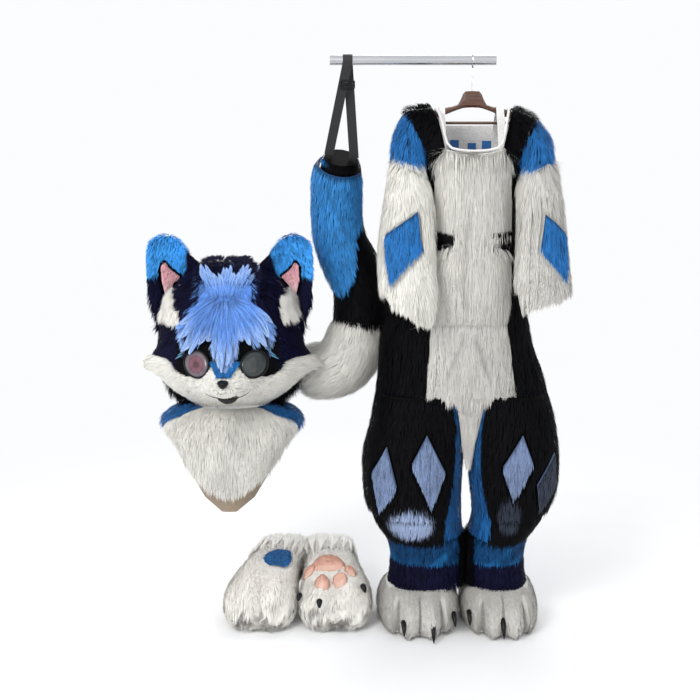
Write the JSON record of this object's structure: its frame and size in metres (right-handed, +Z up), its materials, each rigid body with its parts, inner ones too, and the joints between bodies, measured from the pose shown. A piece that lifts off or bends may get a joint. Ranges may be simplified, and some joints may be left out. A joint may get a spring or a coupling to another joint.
{
  "type": "canine fursuit with its wooden hanger and rail",
  "caption": "Canine costume set: body suit on a wooden hanger and a tail on its belt, both from one rail, with furry feet, a head with a bib, and hand paws.",
  "frame": {"origin": "on the axis of the rail, straight above the hanger's hook", "axes": "+Z up, +X along the rail to the right as the suit is seen from the front, -Y out of its front"},
  "size_m": [1.1138, 0.4725, 1.529],
  "materials": {
    "white_fur": "long white fur cloth",
    "black_fur": "long black fur cloth",
    "navy_fur": "long dark navy fur cloth",
    "blue_fur": "bright blue fur cloth",
    "teal_fur": "dark blue-green fur cloth",
    "hair_fur": "long light blue fur",
    "grey_blue_fur": "short grey-blue fur cloth",
    "pink_fur": "short pink fur cloth",
    "pads": "smooth soft pink cloth over padding",
    "beige_cloth": "smooth beige cloth",
    "black_cloth": "flat black webbing",
    "white_tape": "flat white cotton tape",
    "lens": "glossy, tinted",
    "nose": "glossy black",
    "wood": "dark brown varnish",
    "hook": "bright plated wire",
    "rail": "satin"
  },
  "bodies": {
    "root": {"chest_front": "white_fur", "belly_front": "white_fur", "sleeve_left": "white_fur", "sleeve_right": "white_fur", "foot_left": "white_fur", "foot_right": "white_fur", "tail_tip": "white_fur", "face": "white_fur", "bib": "white_fur", "paw_left": "white_fur", "paw_right": "white_fur", "side_left": "black_fur", "side_right": "black_fur", "yoke_left": "black_fur", "yoke_right": "black_fur", "thigh_left": "black_fur", "thigh_right": "black_fur", "tail_black": "black_fur", "eye_mask": "black_fur", "mouth": "black_fur", "head_shell": "navy_fur", "ear_left": "navy_fur", "ear_right": "navy_fur", "ankle_left": "navy_fur", "ankle_right": "navy_fur", "body_back": "blue_fur", "sleeve_cap_left": "blue_fur", "sleeve_cap_right": "blue_fur", "sleeve_patch_left": "blue_fur", "sleeve_patch_right": "blue_fur", "leg_back_left": "blue_fur", "leg_back_right": "blue_fur", "tail_blue": "blue_fur", "collar": "blue_fur", "muzzle_bridge": "blue_fur", "paw_spot": "blue_fur", "calf_left": "teal_fur", "calf_right": "teal_fur", "hair": "hair_fur", "shin_left": "grey_blue_fur", "shin_right": "grey_blue_fur", "knee_patch_left_outer": "grey_blue_fur", "knee_patch_left_inner": "grey_blue_fur", "knee_patch_right_inner": "grey_blue_fur", "knee_patch_right_outer": "grey_blue_fur", "ear_inner_left": "pink_fur", "ear_inner_right": "pink_fur", "paw_pads": "pads", "bib_hem": "beige_cloth", "tail_belt": "black_cloth", "strap_left": "white_tape", "strap_right": "white_tape", "neck_binding": "white_tape", "eye_left": "lens", "eye_right": "lens", "nose": "nose", "hanger": "wood", "hanger_hook": "hook", "rail": "rail"}
  },
  "joints": []
}
